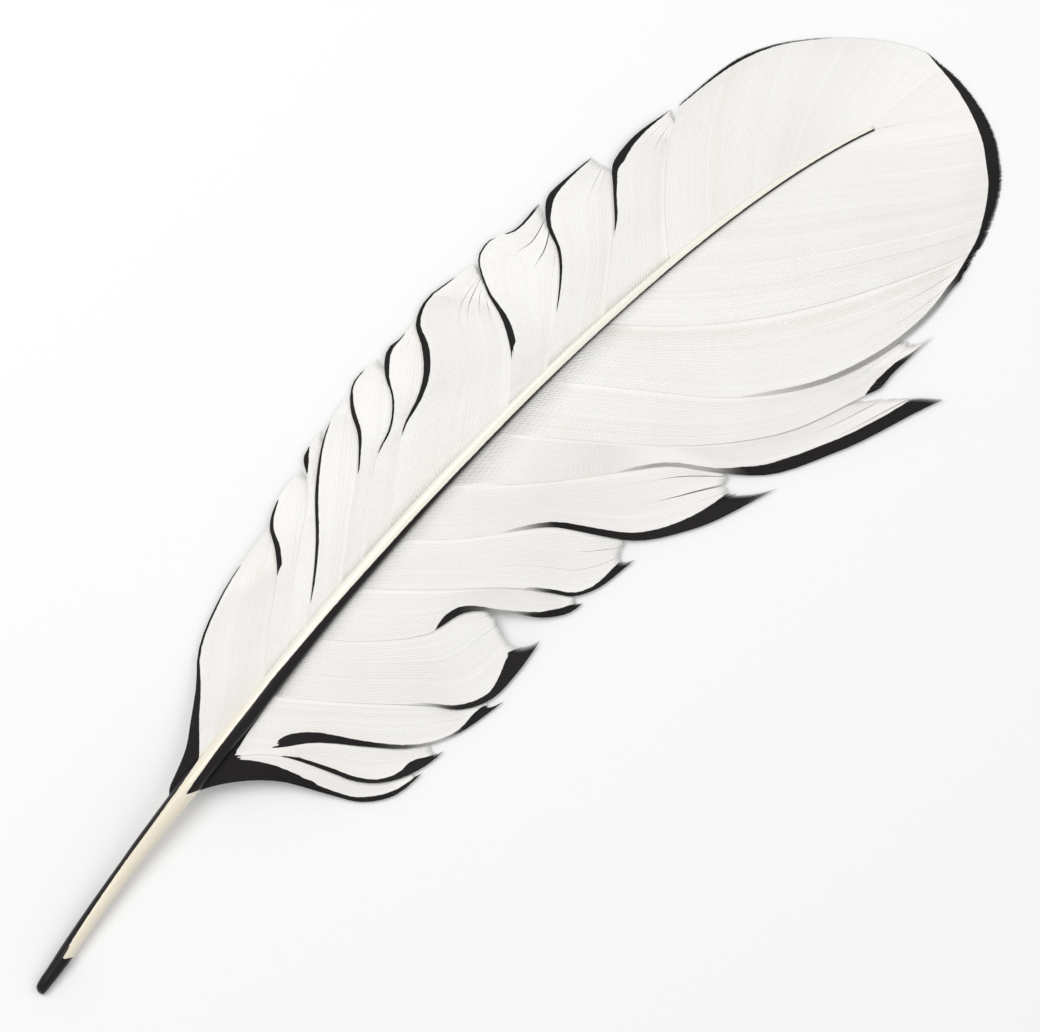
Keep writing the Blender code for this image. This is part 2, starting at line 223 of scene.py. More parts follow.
# darkRoot on the first three wide locks gives their roots the painted shade beside the shaft, from darkBase
wideLocks = (
    {
        "meets": 0.84, "hollow": 0.02, "darkRoot": True,
        "edge": ((56, 0), (63.4, -5), (72.8, -15.6), (77, -25), (81.4, -33.6), (87, -37.9),
                 (95.5, -39.6)),
        "ink": ((0, 0.5, 1), (0.05, 2.2, 1), (0.1, 4.7, 1), (0.15, 7.2, 1), (0.19, 8.2, 1),
                (0.23, 5.1, 1), (0.3, 4.4, 1), (0.38, 3.3, 1), (0.45, 2.2, 1), (0.53, 1.4, 1),
                (0.6, 1, 1), (0.68, 0.9, 1), (0.75, 1.2, 1), (0.86, 1.1, 1), (0.92, 0.7, 1),
                (0.97, 0.45, 1), (1, 0.1, 1)),
    },
    {
        "meets": 0.70, "hollow": 0.03, "darkRoot": True,
        "edge": ((66, 0), (76.1, -9.8), (81.8, -23.1), (83.6, -28.4), (86.9, -33.1), (98.1, -39.3),
                 (102.9, -40.2)),
        "ink": ((0.29, 0, 1), (0.34, 0.7, 1), (0.45, 0.9, 1), (0.53, 1, 1), (0.6, 1, 1), (0.68, 0.7, 1),
                (0.75, 1, 1), (0.79, 1.3, 1), (0.82, 2, 1), (0.86, 2.9, 1), (0.9, 2, 1), (0.94, 1.3, 1),
                (1, 0.1, 1)),
    },
    {
        "meets": 0.73, "hollow": 0.04, "darkRoot": True,
        "edge": ((72, 0), (78.5, -10.1), (84.2, -15.3), (92.8, -27.2), (97.2, -32.8), (106.6, -39.3),
                 (121.4, -43.2)),
        "ink": ((0.175, 0, 1), (0.185, 1.8, 1), (0.205, 2.6, 1), (0.25, 2.7, 1), (0.33, 2.2, 1),
                (0.4, 1.6, 1), (0.51, 1.1, 1), (0.62, 0.8, 0.9), (0.68, 0.4, 0.6), (0.76, 0.4, 0.5),
                (0.81, 0.7, 1), (0.85, 1.3, 1), (0.89, 2.1, 1), (0.93, 2, 1), (0.96, 0.9, 1),
                (1, 0, 1)),
    },
    {
        "meets": 0.64, "hollow": 0.07,
        "edge": ((86, 0), (97, -16), (106, -27.2), (109.3, -31.4), (112.1, -35.9), (119.5, -40.5),
                 (128, -41), (138, -40)),
        "ink": ((0.46, 0, 0.2), (0.5, 0.4, 0.25), (0.54, 0.5, 0.5), (0.58, 0.7, 0.9), (0.62, 1.05, 1),
                (0.68, 1.2, 1), (0.75, 1.5, 1), (0.82, 2.6, 1), (0.86, 3.5, 1), (0.9, 4.6, 1),
                (0.94, 3.1, 1), (0.97, 1.1, 1), (1, 0, 1)),
    },
    {
        "meets": 0.75, "hollow": 0.02,
        "edge": ((103, 0), (112, -11.5), (122.2, -20), (130.8, -22.8), (137.4, -29.7), (142.8, -37.3),
                 (147.9, -40.7), (151.7, -41.4)),
        "ink": ((0.435, 0, 1), (0.46, 1, 1), (0.5, 1.6, 1), (0.55, 1.7, 1), (0.62, 1, 0.9),
                (0.68, 0.45, 0.5), (0.74, 0.5, 0.6), (0.8, 1.1, 1), (0.88, 1.7, 1), (0.95, 1.6, 1),
                (0.99, 0.5, 1), (1, 0, 1)),
    },
    {
        "meets": 0.57, "hollow": 0.05,
        "edge": ((118, 0), (130, -14), (144.2, -28.8), (148.7, -35.2), (151.1, -38.6), (154.4, -40.6),
                 (168, -43.2)),
        "ink": ((0.56, 0, 0.3), (0.59, 0.45, 0.4), (0.62, 0.65, 0.75), (0.66, 0.8, 1), (0.72, 0.85, 1),
                (0.78, 0.75, 1), (0.83, 0.95, 1), (0.87, 1.3, 1), (0.92, 1.75, 1), (0.95, 1.8, 1),
                (1, 0, 1)),
    },
    {
        "meets": 0.50, "hollow": 0.09,
        "edge": ((133, 0), (143, -10.5), (152.9, -18.5), (160, -24.5), (165.1, -31.9), (171, -39.8),
                 (183.4, -47.6), (206, -54.2)),
        "ink": ((0.25, 0, 0.2), (0.29, 0.5, 0.3), (0.32, 0.9, 0.5), (0.35, 1, 0.75), (0.38, 1.2, 1),
                (0.42, 1.4, 1), (0.53, 1.6, 1), (0.64, 2, 1), (0.71, 2.4, 1), (0.77, 3.05, 1),
                (0.83, 3.85, 1), (0.87, 4.4, 1), (0.9, 3.3, 1), (0.93, 1.8, 1), (0.96, 1, 0.8),
                (1, 0, 0.6)),
    },
    {
        "meets": 0.74, "hollow": -0.01,
        "edge": ((150, 0), (164, -14), (181.8, -27.5), (190.3, -33.7), (197.3, -42), (205.3, -49.6),
                 (223.6, -56.7), (258, -62)),
        "ink": ((0.3, 0, 0.2), (0.34, 0.7, 0.4), (0.38, 0.85, 0.57), (0.44, 0.85, 0.5),
                (0.48, 0.9, 0.5), (0.51, 1.2, 0.85), (0.54, 2, 1), (0.58, 2.4, 1), (0.62, 2.8, 1),
                (0.74, 2.7, 1), (0.83, 2.75, 1), (0.9, 2.75, 1), (0.935, 3.5, 1), (0.965, 2.2, 1),
                (1, 0, 1)),
    },
    {
        "meets": 0.78, "hollow": 0.03,
        "edge": ((167, 0), (181, -17), (198, -34), (218, -46), (238.7, -50.5), (244.8, -51.4),
                 (248.1, -50.6), (255.3, -49.7), (266.2, -48.2)),
        "ink": ((0.77, 0, 1), (0.79, 1.1, 1), (0.815, 2.1, 1), (0.84, 1.6, 1), (0.885, 1.3, 1),
                (0.91, 0.7, 1), (0.93, 0.4, 0.7), (0.97, 0.3, 0.3), (1, 0, 0.2)),
    },
    {
        "meets": 1, "hollow": 0, "rimmed": True,
        "edge": ((184, 0), (198, -16.5), (212.9, -31.7), (232, -42.2), (256, -45.3), (274.1, -42.4),
                 (281.4, -39.8)),
        "ink": ((0.37, 0, 0.15), (0.41, 0.4, 0.2), (0.44, 0.6, 0.3), (0.48, 0.8, 0.42),
                (0.54, 0.9, 0.57), (0.65, 0.95, 0.65), (0.75, 0.9, 0.58), (0.86, 0.95, 0.6),
                (0.92, 1.05, 0.68), (0.95, 1.15, 0.78), (0.98, 1.25, 0.9), (1, 1.3, 1)),
    },
)
# The rounded end: root station, the point reached, and where the barb bends forward
narrowEnd = (
    (222, 246, 28.2, 0.42, 0.62), (233, 258, 29.7, 0.44, 0.60), (245, 270.5, 27.3, 0.46, 0.58),
    (256, 283, 21.8, 0.47, 0.56), (267, 293.8, 13.8, 0.48, 0.54), (274, 300.2, 4.8, 0.49, 0.52),
    (278.5, 303.1, -6, 0.50, 0.50),
)
wideEnd = (
    (203, 289, -35.1, 0.36, 0.98), (221, 295, -29.7, 0.40, 0.86), (239, 299.7, -23.8, 0.43, 0.74),
    (258, 302.5, -16.5, 0.46, 0.62), (278.5, 303.1, -6, 0.50, 0.50),
)
# The dark rim of the rounded end: along, across, width in mm, depth
rim = (
    (243.5, 28.3, 0.15, 1), (246, 28.6, 0.35, 1), (251, 29.1, 0.5, 1), (256.1, 29.6, 0.7, 1),
    (260.9, 29.7, 0.85, 1), (265.2, 29, 0.7, 1), (269.3, 27.8, 0.5, 1), (274.1, 25.7, 0.33, 1),
    (278, 23.8, 0.22, 1), (281, 22.4, 0, 1), (288.6, 18.2, 0, 1), (293.1, 14.8, 0, 1),
    (295.2, 12.9, 0, 1), (297, 11, 0.2, 1), (298.5, 7.9, 0.75, 1), (301.2, 1.5, 1.8, 1),
    (302.5, -4.2, 2.4, 1), (303.05, -9.5, 2.9, 1), (302.75, -14.5, 3.2, 1), (301.6, -18.9, 3.35, 1),
    (300, -23.2, 3.2, 1), (297.4, -27, 2.8, 1), (294.1, -30.6, 2.3, 1), (290.5, -34, 1.9, 1),
    (286, -36.9, 1.5, 1), (281.3, -39.8, 1.3, 1),
)
# Where the vanes start: the narrow side is dark left of one line; the wide side is dark between the
# shaft and the second line and beyond the third, painted shade where the shaft meets the wide vane
darkBase = {
    "narrow": ((52, 1.7), (56, 1.8), (62, 2.1), (65, 2.3), (66.5, 3.3), (68, 4.45), (71, 7), (74, 9.55),
               (75.5, 10.8), (77, 16), (78, 60)),
    "streak": ((69.4, -20), (70.2, -4.6), (71, -3.4), (74, -3.1), (77, -2.75), (80, -2.55), (90, -1.8),
               (100, -1.4)),
    "under": ((69.4, 3), (70.2, -4.4), (71, -5.4), (72.5, -7.65), (74, -10.65), (75.5, -14.7),
              (76.5, -18), (77.5, -60)),
}
marking = {"fade": 0.12, "fadeBelow": 0.3}  # a marking narrower than fadeBelow loses up to fade, in mm


def inkField(width, away):
    # positive inside a marking and fading out where its width falls to nothing
    return width - away - marking["fade"] * (1 - smoothStep(width, 0, marking["fadeBelow"]))


def inkAlong(spots, edge, marks):
    # how far inside the dark marking along the edge each spot lies, in mm, and how deep it is there
    line = evenAlong(edge, points["marking"])
    flat = spots.reshape(-1, 2)
    gap = np.hypot(flat[:, None, 0] - line[:, 0], flat[:, None, 1] - line[:, 1])
    share = (gap.argmin(1) / (len(line) - 1)).reshape(spots.shape[:-1])
    away = gap.min(1).reshape(spots.shape[:-1])
    return inkField(profile(marks, share, 1), away), profile(marks, share, 2)


def inkAtRim(spots):
    # the same for the dark rim of the rounded end
    line = smoothThrough(rim, points["rimMarking"])
    gap = np.hypot(spots[..., None, 0] - line[:, 0], spots[..., None, 1] - line[:, 1])
    nearest = gap.argmin(-1)
    return inkField(line[nearest, 2], gap.min(-1)), line[nearest, 3]


def inkAndShadeAtBase(spots, side):
    # narrow side: dark left of the quill's line carried on; wide side: painted shade beside the shaft
    s, w = spots[..., 0], spots[..., 1]
    if side > 0:
        return w - profile(darkBase["narrow"], s)
    return np.maximum(w - profile(darkBase["streak"], s), profile(darkBase["under"], s) - w)


def darker(ink, depth, otherInk, otherDepth):
    return np.maximum(ink, otherInk), np.where(otherInk > ink, otherDepth, depth)


def barbInkAndShade(lock, near, spots, side):
    # the lock's dark edge marking, the dark rim on the rimmed lock, and at a dark root the dark of the
    # vane's start, which is painted shade on the wide side
    if not lock:
        return inkAtRim(spots)
    ink, depth = inkAlong(spots, near, lock["ink"])
    if "rimmed" in lock:
        ink, depth = darker(ink, depth, *inkAtRim(spots))
    if "darkRoot" in lock:
        ink, depth = darker(ink, depth, inkAndShadeAtBase(spots, side), 1)
    return ink, depth


barbs = {
    "pitch": 0.5,  # from barb to barb, in mm
    "widthAt": 0.7,  # where along a lock its width is measured
    "widthCounts": 0.6,
    "fewest": 8,
    "rows": 24,
    "cover": 1.12,  # how wide a barb is against its pitch
    "narrowest": 0.1,
    "widest": 0.6,
    "ridge": 0.1,
    "tileTilt": 0.05,
    "drop": 0.3,
    "lift": 0.7,  # how far the side nearest the quill lies over the lock before it
    "liftVaries": 0.05,
    "liftFrom": 0.25,
    "liftTo": 0.8,
    "sink": 0.2,  # how far the other side lies under the next lock
    "sinkFrom": 0.9,
    "lowest": 0.02,
    "steepest": 3,  # slope of a barb's root inside the shaft
    "taperFrom": 0.965,
    "tipWidth": 0.3,
    "bunch": (5, 13),  # barbs that cling together at their tips
    "edgeBunch": 14,  # the same at the edge nearest the quill
    "clinging": 0.25,
    "clingsFrom": 0.7,
    "pullPower": 1.5,
    "uneven": 0.006,
    "unevenFrom": 0.3,
    "firstAt": 0.3,  # the first barb's place, in pitches
    "lastOver": 0.4,  # pitches taken off so that the last barb reaches the next lock
    "lap": 0.03,  # how far the last barbs of a lock run under the next one
    "hollowScale": 6.75,  # brings share * (1 - share)^2 to 1 at its deepest
    "toneVaries": 0.5,
    "bunchToneVaries": 0.4,
}
# The rows of a barb stand closer together where the lock bends, where it is marked and at a dark root
rowWeight = {
    "even": 0.7,
    "marked": 0.8,
    "unmarked": 0.01,
    "fullWidth": 0.5,  # a marking this wide, in mm, counts in full
    "root": 2,
    "rootEnd": (0.34, 0.24),
}
fan = {
    "pitch": 0.42,
    "sample": 40,  # barbs in the trial fan whose first barb ends the last lock
    "innerTo": 0.88,
    "rimRows": (0.9, 0.92, 0.94, 0.955, 0.97, 0.98, 0.988, 0.994, 1),
    "uneven": 0.002,
    "taperFrom": 0.988,
    "tiltTo": 0.5,  # from here on the tile tilt fades, so that the two fans meet
}


def barbTemplate():
    # a three-sided closed bar, one unit a row
    bar = bmesh.new()
    bmesh.ops.create_circle(bar, segments=3, radius=1, cap_ends=False)
    stretchTube(bar, barbs["rows"])
    bmesh.ops.holes_fill(bar, edges=bar.edges[:], sides=3)
    bmesh.ops.recalc_face_normals(bar, faces=bar.faces[:])
    angles = np.round([np.arctan2(v.co.y, v.co.x) for v in bar.verts], 3)
    corner = np.searchsorted(np.unique(angles), angles)
    bar.verts.index_update()
    uv = bar.loops.layers.uv.new("along")
    for face in bar.faces:
        face.smooth = True
        for loop in face.loops:
            loop[uv].uv = (corner[loop.vert.index] / 2, loop.vert.co.z / barbs["rows"])
    for edge in bar.edges:
        first, second = (corner[v.index] for v in edge.verts)
        edge.smooth = first != second or first == 1  # only the ridge is rounded
    mesh = bpy.data.meshes.new("barbTemplate")
    bar.to_mesh(mesh)
    bar.free()
    return mesh, np.array([round(v.co.z) for v in mesh.vertices]), corner


def stretchTube(tube, rows):
    # grows the open ring upwards by one unit a row
    ring = tube.edges[:]
    for row in range(rows):
        grown = bmesh.ops.extrude_edge_only(tube, edges=ring)["geom"]
        verts = [g for g in grown if isinstance(g, bmesh.types.BMVert)]
        ring = [g for g in grown if isinstance(g, bmesh.types.BMEdge)]
        bmesh.ops.translate(tube, verts=verts, vec=(0, 0, 1))


template, templateRow, templateCorner = barbTemplate()
print("barb template:", len(template.polygons), "faces")


def at(curve, share):
    position = np.clip(share, 0, 1) * (len(curve) - 1)
    return np.stack([np.interp(position, np.arange(len(curve)), curve[:, k]) for k in (0, 1)], -1)


def rowShares(lock, near, far):
    turn = np.zeros(len(near))
    for curve in (near, far):
        heading = np.unwrap(np.arctan2(*np.gradient(curve, axis=0).T[::-1]))
        turn += np.abs(np.gradient(heading))
    even = np.linspace(0, 1, len(near))
    marked = smoothStep(profile(lock["ink"], even), 0, rowWeight["fullWidth"]) + rowWeight["unmarked"]
    if "darkRoot" in lock:
        marked += rowWeight["root"] * smoothStep(even, *rowWeight["rootEnd"])
    steady = rowWeight["even"] / len(near)
    weight = np.cumsum(steady + turn / turn.sum() + rowWeight["marked"] * marked / marked.sum())
    inner = np.interp(np.linspace(weight[0], weight[-1], barbs["rows"] - 1), weight, even)
    return np.concatenate([inner * barbs["taperFrom"], [(1 + barbs["taperFrom"]) / 2, 1]])


def bunches(share):
    # the bunch that each barb clings to, its middle and how hard it pulls; the outer bunches keep to
    # the lock's edges
    sizes = [barbs["edgeBunch"]]
    while sum(sizes) < len(share):
        sizes.append(int(chance.integers(*barbs["bunch"])))
    group = np.repeat(np.arange(len(sizes)), sizes)[:len(share)]
    middle = np.array([share[group == g].mean() for g in group])
    pull = chance.uniform(0, 1, group.max() + 1) ** barbs["pullPower"]
    pull[[0, -1]] = 0
    return group, middle, pull[group]


def barbCount(near, far, meets):
    rooted = far[0, 0] - near[0, 0]
    wide = np.hypot(*(at(near, barbs["widthAt"]) - at(far, barbs["widthAt"] * meets)))
    spread = barbs["widthCounts"] * rooted + barbs["widthCounts"] * wide
    return max(barbs["fewest"], round(max(rooted, spread) / barbs["pitch"]))


def lockBarbs(lock, near, far):
    meets, hollow = lock["meets"], lock["hollow"]
    count = barbCount(near, far, meets)
    rows = rowShares(lock, near, at(far, np.linspace(0, meets, len(near))))
    share = (np.arange(count) + barbs["firstAt"]) / (count - barbs["lastOver"]) * (1 + barbs["lap"])
    group, middle, pull = bunches(share)
    reach = 1 - hollow * barbs["hollowScale"] * share * np.clip(1 - share, 0, 1) ** 2
    short = np.abs(chance.normal(0, barbs["uneven"], count))
    reach -= short * smoothStep(share, 0, barbs["unevenFrom"])
    along = rows[None, :] * reach[:, None]
    cling = barbs["clinging"] * smoothStep(rows, barbs["clingsFrom"], 1)[None, :] * pull[:, None]
    across = share[:, None] * (1 - cling) + middle[:, None] * cling
    start, stop = at(near, along), at(far, along * meets)
    return rows, start + (stop - start) * across[..., None], (stop - start) / count, share, group


def fanBarbs(end, count=None):
    end = np.array(end, float)
    dense = smoothThrough(end[:, [1, 2, 0, 3, 4]], points["fanEnd"])
    apart = np.abs(np.diff(dense[:, 2])) + np.hypot(*np.diff(dense[:, :2], axis=0).T)
    total = np.concatenate([[0], np.cumsum(apart / 2)])
    count = count or round(total[-1] / fan["pitch"])
    even = np.linspace(0, total[-1], count)
    reachS, reachW, root, bendS, bendW = (np.interp(even, total, column) for column in dense.T)
    start, reach = np.stack([root, 0 * root], -1)[:, None], np.stack([reachS, reachW], -1)[:, None]
    bend = start + (reach - start) * np.stack([bendS, bendW], -1)[:, None]
    outline = smoothThrough(rim, points["rimTips"])[:, :2]
    reach = outline[np.hypot(*(reach - outline).transpose(2, 0, 1)).argmin(1)][:, None]
    inner = np.linspace(0, fan["innerTo"], barbs["rows"] + 1 - len(fan["rimRows"]))
    rows = np.concatenate([inner, fan["rimRows"]])
    short = 1 - np.abs(chance.normal(0, fan["uneven"], count))
    t = (rows[None, :] * short[:, None])[..., None]
    line = (1 - t) ** 2 * start + 2 * t * (1 - t) * bend + t**2 * reach
    share = (np.arange(count) + 0.5) / count
    return rows, line, np.gradient(line, axis=0), share, bunches(share)[0]


def vaneRuns(locks, end):
    # the barbs of each lock, and then those of the rounded end
    edges = [smoothThrough(lock["edge"], points["edge"]) for lock in locks]
    fanEdge = evenAlong(fanBarbs(end, fan["sample"])[1][0], points["edge"])
    runs = []
    for lock, near, far in zip(locks, edges, [*edges[1:], fanEdge]):
        runs.append((lock, near, *lockBarbs(lock, near, far)))
    runs.append((None, None, *fanBarbs(end)))
    return runs


def barbWidths(lock, rows, step, normal):
    # half of each barb's width at each of its rows
    half = np.abs((step * normal).sum(-1)) / 2 * barbs["cover"]
    half = np.clip(half, barbs["narrowest"], barbs["widest"])
    taper = barbs["taperFrom"] if lock else fan["taperFrom"]
    return half * (1 - (1 - barbs["tipWidth"]) * np.clip((rows - taper) / (1 - taper), 0, 1)[None, :])


def barbCorners(lock, side, rows, line, step, share, group):
    # the three corners of each row of each barb: along and across, and their height
    heading = np.gradient(line, axis=1)
    heading /= np.maximum(np.hypot(heading[..., 0], heading[..., 1]), 1e-9)[..., None]
    normal = np.stack([-heading[..., 1], heading[..., 0]], -1)
    aside = normal * barbWidths(lock, rows, step, normal)[..., None]
    # each barb starts inside the shaft, in line with itself
    inside = profile(form["offset"], line[:, 0, 0])
    slope = np.diff(line[:, :2, 0], axis=1)[:, 0] / np.diff(line[:, :2, 1], axis=1)[:, 0]
    line[:, 0] += np.stack([inside * np.clip(slope, -barbs["steepest"], barbs["steepest"]), inside], -1)
    spots = np.stack([line - aside, line, line + aside], 2)
    outward = smoothStep(rows, barbs["liftFrom"], barbs["liftTo"])[None, :]
    lift = chance.normal(0, barbs["liftVaries"], group.max() + 1)[group][:, None] * outward
    tilt = barbs["tileTilt"] * side * np.ones_like(line[..., 0])
    if lock:
        lift = lift + barbs["lift"] * np.clip(1 - share, 0, 1)[:, None] ** 2 * outward
        lift = lift - barbs["sink"] * smoothStep(share, barbs["sinkFrom"], 1)[:, None]
    else:
        tilt *= 1 - smoothStep(share, fan["tiltTo"], 1)[:, None]
    height = vaneHeight(spots[..., 0], spots[..., 1], side) - barbs["drop"] + lift[..., None]
    return spots, height + np.stack([-tilt, np.full_like(tilt, barbs["ridge"]), tilt], -1)


def addLayer(mesh, title, values):
    layer = mesh.attributes.new(title, "FLOAT", "POINT")
    layer.data.foreach_set("value", values.reshape(-1).astype(np.float32))


def addPiece(name, mesh):
    piece = bpy.data.objects.new(name, mesh)
    bpy.context.scene.collection.objects.link(piece)
    return piece


def joinBarbs(name, places, layers):
    joined = bmesh.new()
    for barb in places:
        joined.from_mesh(template)
    mesh = bpy.data.meshes.new(name)
    joined.to_mesh(mesh)
    joined.free()
    mesh.vertices.foreach_set("co", (places[:, templateRow, templateCorner] * millimetre).reshape(-1))
    for title, values in layers.items():
        addLayer(mesh, title, values[:, templateRow, templateCorner])
    turned = bmesh.new()
    turned.from_mesh(mesh)
    bmesh.ops.recalc_face_normals(turned, faces=turned.faces[:])
    turned.to_mesh(mesh)
    turned.free()
    return mesh


def buildVane(name, side, locks, end):
    places, layers = [], {"ink": [], "depth": [], "tone": []}
    for lock, near, *run in vaneRuns(locks, end):
        spots, height = barbCorners(lock, side, *run)
        ink, depth = barbInkAndShade(lock, near, spots, side)
        group = run[-1]
        tone = chance.normal(0, barbs["toneVaries"], len(spots))
        tone = tone + chance.normal(0, barbs["bunchToneVaries"], group.max() + 1)[group]
        x, y = plan(spots[..., 0], spots[..., 1])
        places.append(np.stack([x, y, np.maximum(height, barbs["lowest"])], -1))
        layers["ink"].append(ink)
        layers["depth"].append(depth)
        layers["tone"].append(tone[:, None, None] + np.zeros_like(ink))
    places = np.concatenate(places)
    mesh = joinBarbs(name, places, {title: np.concatenate(parts) for title, parts in layers.items()})
    triangles = sum(len(face.vertices) - 2 for face in mesh.polygons)
    print(name, len(places), "barbs,", len(mesh.polygons), "faces,", triangles, "triangles")
    return addPiece(name, mesh)


shaft = {
    "segments": 24,
    "rows": 300,
    "rowSpread": (0.18, 0.82),  # shares of the length with even rows and with rows closer at the quill
    "rowPower": 1.25,
    "squareFrom": 60,
    "squareTo": 95,
    "square": 0.28,
    "groove": 0.35,
    "grooveWidth": 0.3,
    "lowest": 0.01,
    # markings: where the painted shade on the shaft's wide-vane flank has its left side, where that
    # painted shade starts (the spur), the line down the quill's left side, and how far up the dark end
    # reaches
    "streak": ((56, -0.6), (57.5, -0.25), (60.5, -0.05), (63.5, 0.05), (66, 0.2), (70, 0.35), (76, 0.5),
               (82, 0.55), (90, 0.8), (100, 0.7), (110, 0.7), (120, 0.6), (130, 0.5), (140, 0.5),
               (150, 0.4), (160, 0.3), (180, 0.33), (200, 0.25), (230, 0.3), (278.5, 0.25)),
    "spur": ((55, 0.6), (57, -0.6), (59, -1.8), (60.5, -2.85), (66, -7.5)),
    "spurEnd": 66,
    "line": ((8, 0.5), (10.5, 0.75), (14, 0.87), (20, 1.1), (28, 1.3), (36, 1.5), (44, 1.5), (50, 1.65),
             (56, 1.8), (62, 2.1), (65, 2.3), (66.5, 3.3), (68, 4.5), (280, 4.5)),
    "nib": ((-1.8, 11.6), (-1.3, 11.1), (-0.75, 10.5), (-0.3, 10.1), (0, 9.75), (0.2, 9.5), (0.45, 9.75),
            (0.75, 10.5), (0.85, 13)),
    "toneLength": 280,
    "mapLength": 300,
}


def shaftInkAndShade(s, w):
    # painted shade on the shaft's wide-vane flank, from the streak's left side outward and bounded by the
    # spur near the quill; then the dark line down the quill's left side and the dark end
    beside = np.where(s < shaft["spurEnd"], w - profile(shaft["spur"], s), np.inf)
    streak = np.minimum(profile(shaft["streak"], s) - w, beside)
    line = w - profile(shaft["line"], s)
    return np.maximum(np.maximum(streak, line), profile(shaft["nib"], w) - s)


def shaftSection(s, angle):
    # the section turns from round at the quill to squarish, with a groove on the underside
    squared = smoothStep(s, shaft["squareFrom"], shaft["squareTo"])
    power = 1 - shaft["square"] * squared
    sideways, upward = np.cos(angle), np.sin(angle)
    sideways = np.sign(sideways) * np.abs(sideways) ** power
    upward = np.sign(upward) * np.abs(upward) ** power
    hollow = np.exp(-((sideways / shaft["grooveWidth"]) ** 2)) * (upward < 0)
    return sideways, upward + shaft["groove"] * squared * hollow


def buildShaft():
    tube = bmesh.new()
    bmesh.ops.create_circle(tube, segments=shaft["segments"], radius=1, cap_ends=False)
    stretchTube(tube, shaft["rows"])
    bmesh.ops.holes_fill(tube, edges=tube.edges[:], sides=shaft["segments"])
    corner = np.array([v.co for v in tube.verts])
    t = np.round(corner[:, 2]) / shaft["rows"]
    even, closer = shaft["rowSpread"]
    s = shaftLength[-1] * (even * t + closer * t ** shaft["rowPower"])
    radius = profile(form["radius"], s)
    sideways, upward = shaftSection(s, np.arctan2(corner[:, 1], corner[:, 0]))
    w = profile(form["offset"], s) + radius * sideways
    z = shaftHeight(s) - form["pressed"] + radius * upward
    x, y = plan(s, w)
    for vert, place in zip(tube.verts, np.stack([x, y, np.maximum(z, shaft["lowest"])], -1)):
        vert.co = place * millimetre
    bmesh.ops.recalc_face_normals(tube, faces=tube.faces[:])
    uv = tube.loops.layers.uv.new("along")
    for face in tube.faces:
        face.smooth = True
        for loop in face.loops:
            i = loop.vert.index
            loop[uv].uv = (s[i] / shaft["mapLength"], 0.5 + 0.5 * sideways[i])
    mesh = bpy.data.meshes.new("quillShaft")
    tube.to_mesh(mesh)
    tube.free()
    # this layer carries the dark markings and the painted shade on the shaft's wide-vane flank
    addLayer(mesh, "ink", shaftInkAndShade(s, w))
    addLayer(mesh, "depth", np.ones(len(s)))
    addLayer(mesh, "tone", s / shaft["toneLength"])
    print("quillShaft", len(mesh.polygons), "faces")
    return addPiece("quillShaft", mesh)


# the dark colour of the markings, also used as painted shade on the shaft's wide-vane flank and beside the
# shaft at the wide vane's start
pigmentAndShade = {
    "colour": (0.010, 0.0077, 0.0083, 1),
    "soft": 0.07,  # half the width over which a marking's border blends, in mm
    "ragged": 0.1,
    "raggedScale": 900,
    "raggedDetail": 2,
}
keratin = {
    "white": (0.91, 0.90, 0.88, 1),
    "cream": (0.80, 0.76, 0.69, 1),
    "barbTint": 0.12,
    "cloudTint": 0.4,
    "cloudScale": 60,
    "cloudDetail": 4,
    "roughness": 0.6,
    # less rough where dark, on the markings and the painted shade alike
    "pigmentAndShadeGloss": 0.1,
    "specular": 0.2,
    "barbules": 1600.0,
    "barbuleSlant": 9.0,
    "bump": (0.25, 0.00005),  # strength and height
}
horn = {
    "ivory": (0.83, 0.77, 0.64, 1),
    "white": (0.88, 0.86, 0.79, 1),
    "whiteFrom": 0.15,
    "whiteTo": 0.4,
    "streak": (0.62, 0.54, 0.40, 1),
    "streakTint": 0.35,
    "grain": (40, 1500, 1500),
    "grainDetail": 3,
    "roughness": 0.32,
    "coat": 0.35,
    "specular": 0.25,
    "subsurface": 0.1,
    "subsurfaceRadius": (0.002, 0.0015, 0.001),
    "bump": (0.2, 0.0001),
}


def newGroup(name, inputs, outputs):
    group = bpy.data.node_groups.new(name, "ShaderNodeTree")
    for title, kind in inputs:
        group.interface.new_socket(title, in_out="INPUT", socket_type=kind)
    for title, kind in outputs:
        group.interface.new_socket(title, in_out="OUTPUT", socket_type=kind)
    return group, group.nodes.new("NodeGroupInput"), group.nodes.new("NodeGroupOutput")


def mathNode(tree, operation, *values):
    node = tree.nodes.new("ShaderNodeMath")
    node.operation = operation
    for socket, value in zip(node.inputs, values):
        if isinstance(value, (int, float)):
            socket.default_value = value
        else:
            tree.links.new(value, socket)
    return node.outputs[0]


def attributeNode(tree, title):
    node = tree.nodes.new("ShaderNodeAttribute")
    node.attribute_name = title
    return node.outputs["Fac"]


def noiseNode(tree, vector, scale, detail):
    node = tree.nodes.new("ShaderNodeTexNoise")
    node.inputs["Scale"].default_value = scale
    node.inputs["Detail"].default_value = detail
    tree.links.new(vector, node.inputs["Vector"])
    return node.outputs["Fac"]


def rampNode(tree, value, low, high):
    node = tree.nodes.new("ShaderNodeMapRange")
    node.interpolation_type = "SMOOTHSTEP"
    node.inputs["From Min"].default_value = low
    node.inputs["From Max"].default_value = high
    tree.links.new(value, node.inputs["Value"])
    return node.outputs["Result"]


def mixColour(tree, factor, first, second):
    node = tree.nodes.new("ShaderNodeMix")
    node.data_type = "RGBA"
    tree.links.new(factor, node.inputs["Factor"])
    for title, value in (("A", first), ("B", second)):
        if isinstance(value, tuple):
            node.inputs[title].default_value = value
        else:
            tree.links.new(value, node.inputs[title])
    return node.outputs["Result"]


